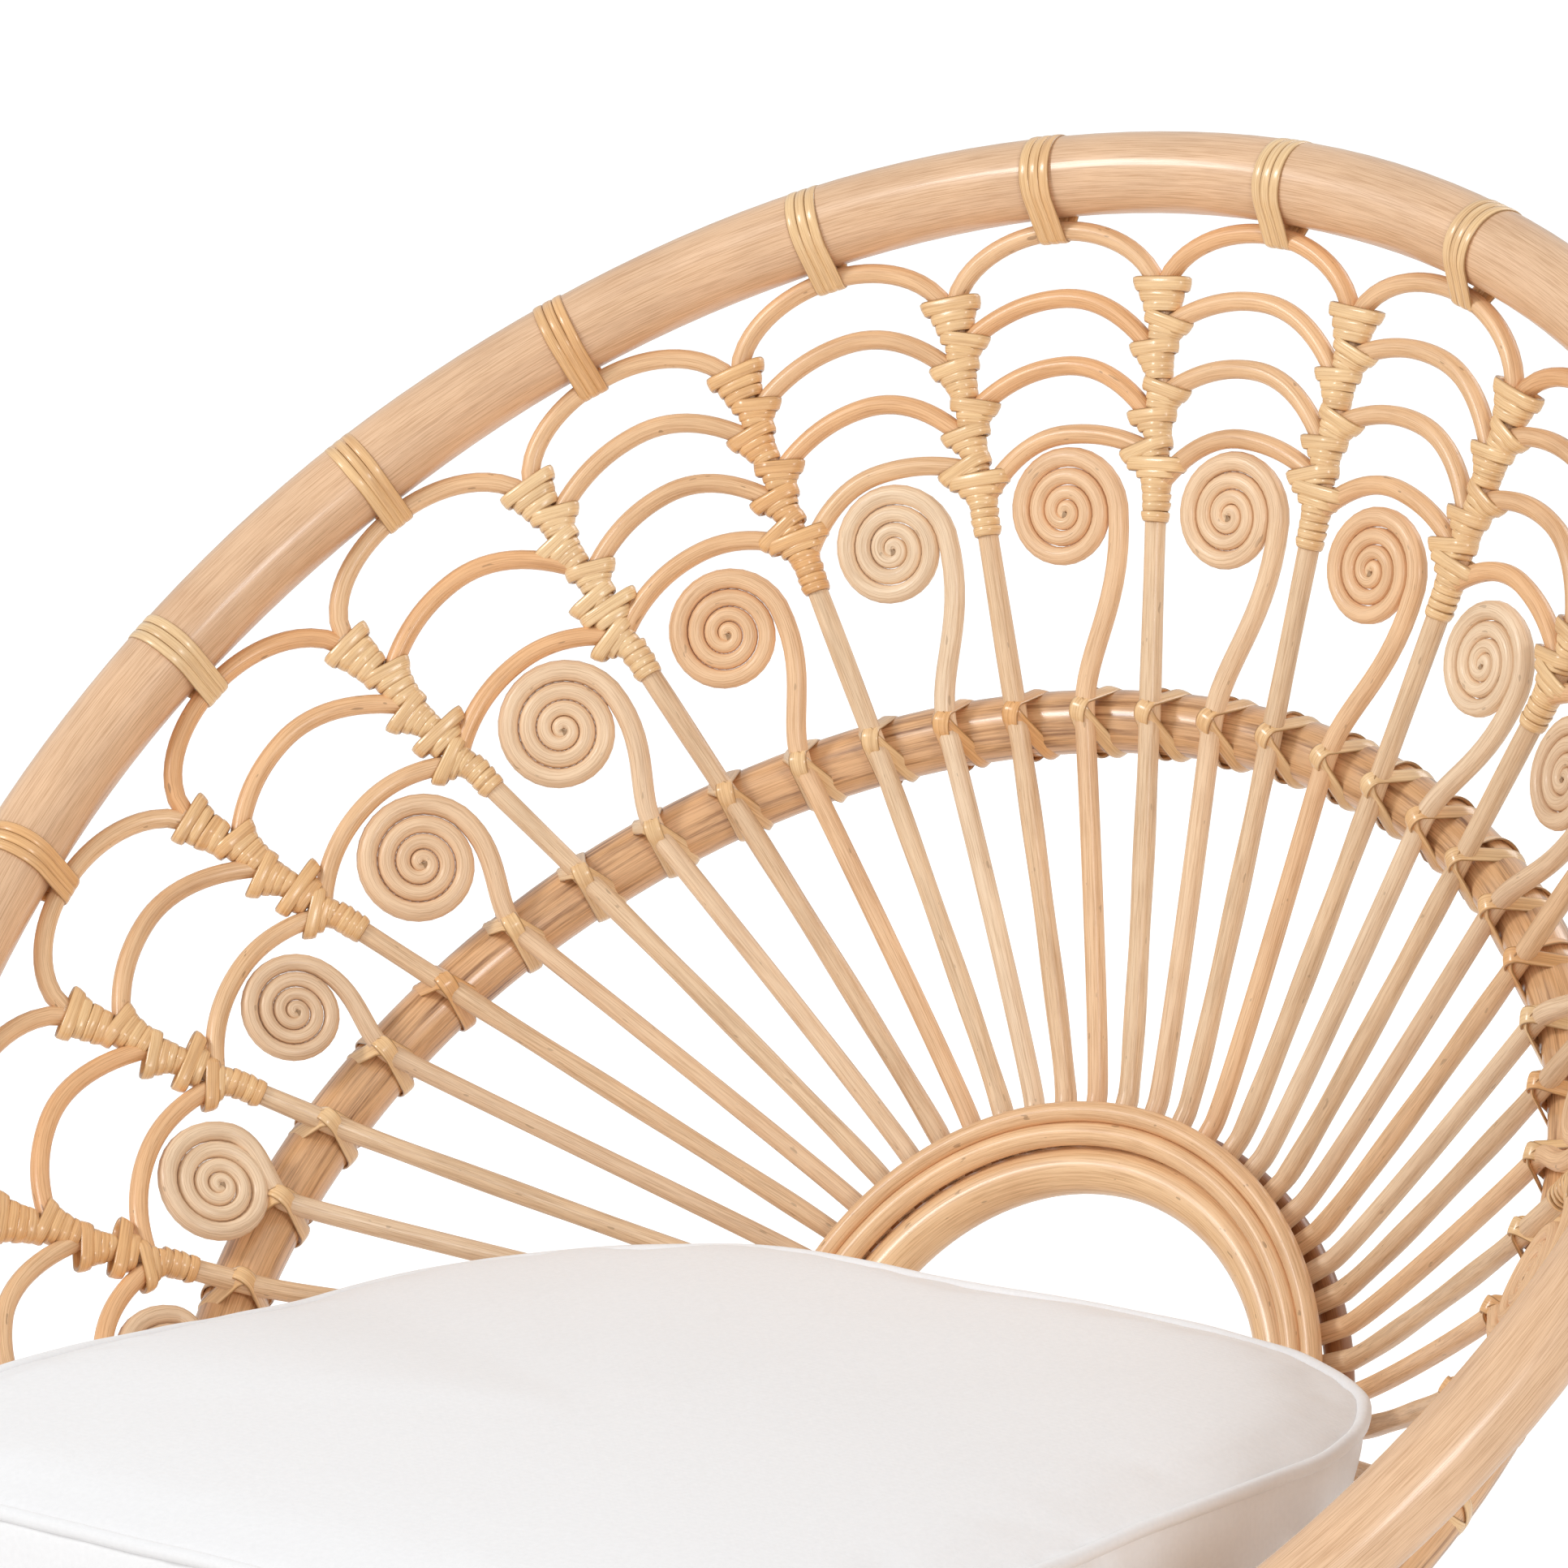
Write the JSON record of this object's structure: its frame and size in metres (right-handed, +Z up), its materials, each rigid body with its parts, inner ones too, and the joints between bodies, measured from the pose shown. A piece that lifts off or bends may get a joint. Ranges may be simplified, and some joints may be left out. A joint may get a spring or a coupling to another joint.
{
  "type": "peacock chair",
  "caption": "Low round peacock chair of bent rattan poles with a fan back of canes, arches and spiral curls, on splayed legs, with a thick loose seat cushion.",
  "frame": {"origin": "on the floor, under the middle of the chair's outline", "axes": "+Z up, -Y to the front where the sitter's legs go, +X to the chair's right-hand side seen from the front"},
  "size_m": [0.8312, 0.6754, 0.8691],
  "materials": {
    "poles": "satin",
    "ring": "satin",
    "spokes": "satin",
    "canes": "satin",
    "lattice": "satin",
    "glide": "matte",
    "cushion": "matte woven"
  },
  "bodies": {
    "chair": {"outer_rim_pole": "poles", "inner_ring_pole": "ring", "hub_arch_pole": "poles", "hub_cane_inner": "canes", "hub_cane_outer": "canes", "hub_back_arch": "canes", "lattice_stave_01": "lattice", "lattice_stave_02": "lattice", "lattice_stave_03": "lattice", "lattice_stave_04": "lattice", "lattice_stave_05": "lattice", "lattice_stave_06": "lattice", "lattice_stave_07": "lattice", "lattice_stave_08": "lattice", "lattice_stave_09": "lattice", "lattice_stave_10": "lattice", "lattice_stave_11": "lattice", "lattice_stave_12": "lattice", "lattice_stave_13": "lattice", "lattice_stave_14": "lattice", "lattice_stave_15": "lattice", "lattice_stave_16": "lattice", "lattice_stave_17": "lattice", "lattice_stave_18": "lattice", "curl_spoke_01": "spokes", "curl_spoke_02": "spokes", "curl_spoke_03": "spokes", "curl_spoke_04": "spokes", "curl_spoke_05": "spokes", "curl_spoke_06": "spokes", "curl_spoke_07": "spokes", "curl_spoke_08": "spokes", "curl_spoke_09": "spokes", "curl_spoke_10": "spokes", "curl_spoke_11": "spokes", "curl_spoke_12": "spokes", "curl_spoke_13": "spokes", "curl_spoke_14": "spokes", "curl_spoke_15": "spokes", "curl_spoke_16": "spokes", "curl_spoke_17": "spokes", "seat_frame": "poles", "seat_slat_1": "canes", "seat_slat_2": "canes", "seat_slat_3": "canes", "seat_slat_4": "canes", "seat_slat_5": "canes", "rear_leg_right": "poles", "rear_leg_left": "poles", "stretcher_front": "poles", "stretcher_rear": "poles", "stretcher_right": "poles", "stretcher_left": "poles", "glide_front_right": "glide", "glide_front_left": "glide", "glide_rear_right": "glide", "glide_rear_left": "glide"},
    "cushion": {"seat_cushion": "cushion"}
  },
  "joints": [
    {"name": "cushion_lift", "type": "slide", "parent": "chair", "child": "cushion", "axis": [0, 0, 1], "range_m": [0, 0.12]}
  ]
}
